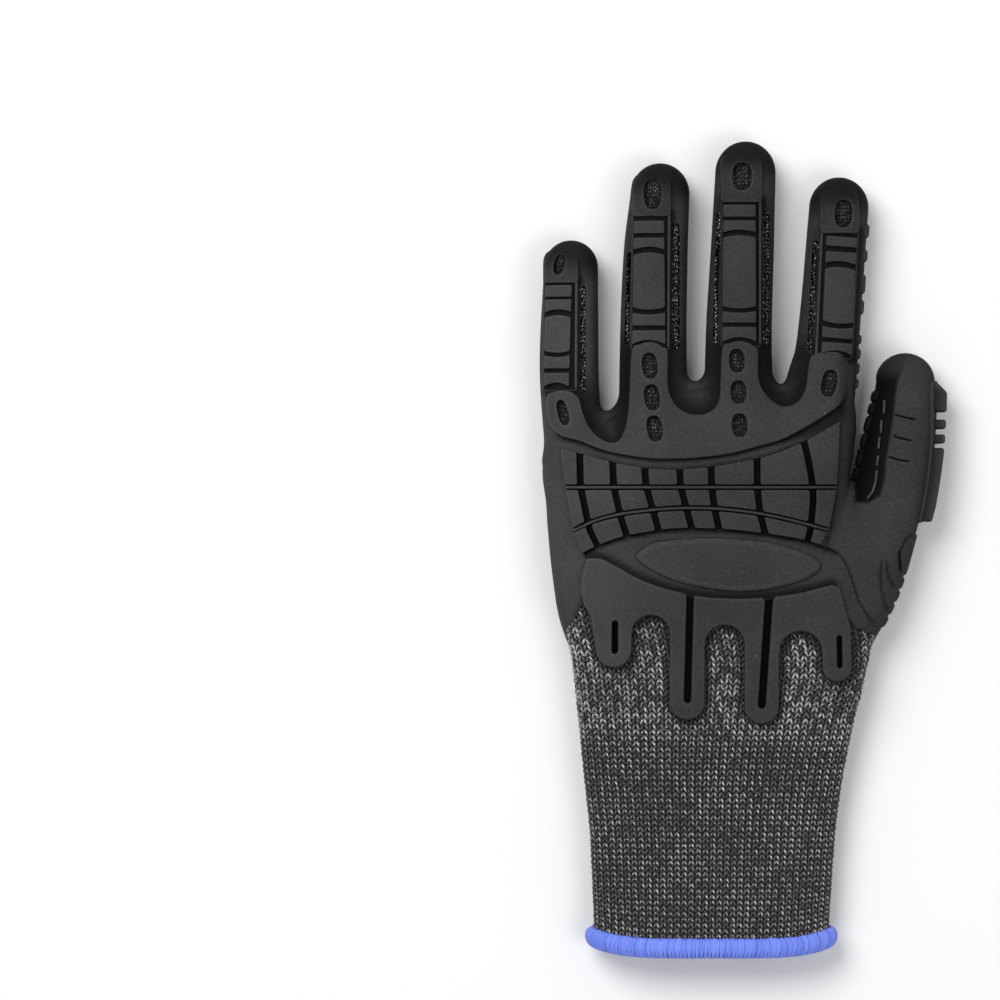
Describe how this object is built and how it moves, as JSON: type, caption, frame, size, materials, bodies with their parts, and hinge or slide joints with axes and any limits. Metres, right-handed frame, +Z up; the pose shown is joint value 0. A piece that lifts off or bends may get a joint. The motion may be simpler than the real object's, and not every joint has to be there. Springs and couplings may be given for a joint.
{
  "type": "heavy-duty work glove for the left hand",
  "caption": "Knitted work glove with a moulded rubber coat, ribbed grip palm, raised back guards and a long knit cuff with an overlocked hem.",
  "frame": {"origin": "centre of the glove's footprint on the surface it lies on, under the palm", "axes": "+Y from the cuff to the fingertips, +X towards the thumb, +Z up through the back of the hand"},
  "size_m": [0.1321, 0.2652, 0.0295],
  "materials": {
    "knit": "knitted melange of black, grey and off-white yarn",
    "hem_thread": "overlocked bright blue thread",
    "rubber_coat": "matte, finely grained",
    "rubber_guard": "matte, finely grained"
  },
  "bodies": {
    "root": {"knit_cuff": "knit", "knit_liner": "knit", "cuff_hem": "hem_thread", "palm_coat": "rubber_coat", "little_coat": "rubber_coat", "ring_coat": "rubber_coat", "middle_coat": "rubber_coat", "index_coat": "rubber_coat", "thumb_coat": "rubber_coat", "little_guard": "rubber_guard", "ring_guard": "rubber_guard", "middle_guard": "rubber_guard", "index_guard": "rubber_guard", "thumb_guard": "rubber_guard", "knuckle_guard": "rubber_guard", "back_guard": "rubber_guard"}
  },
  "joints": []
}
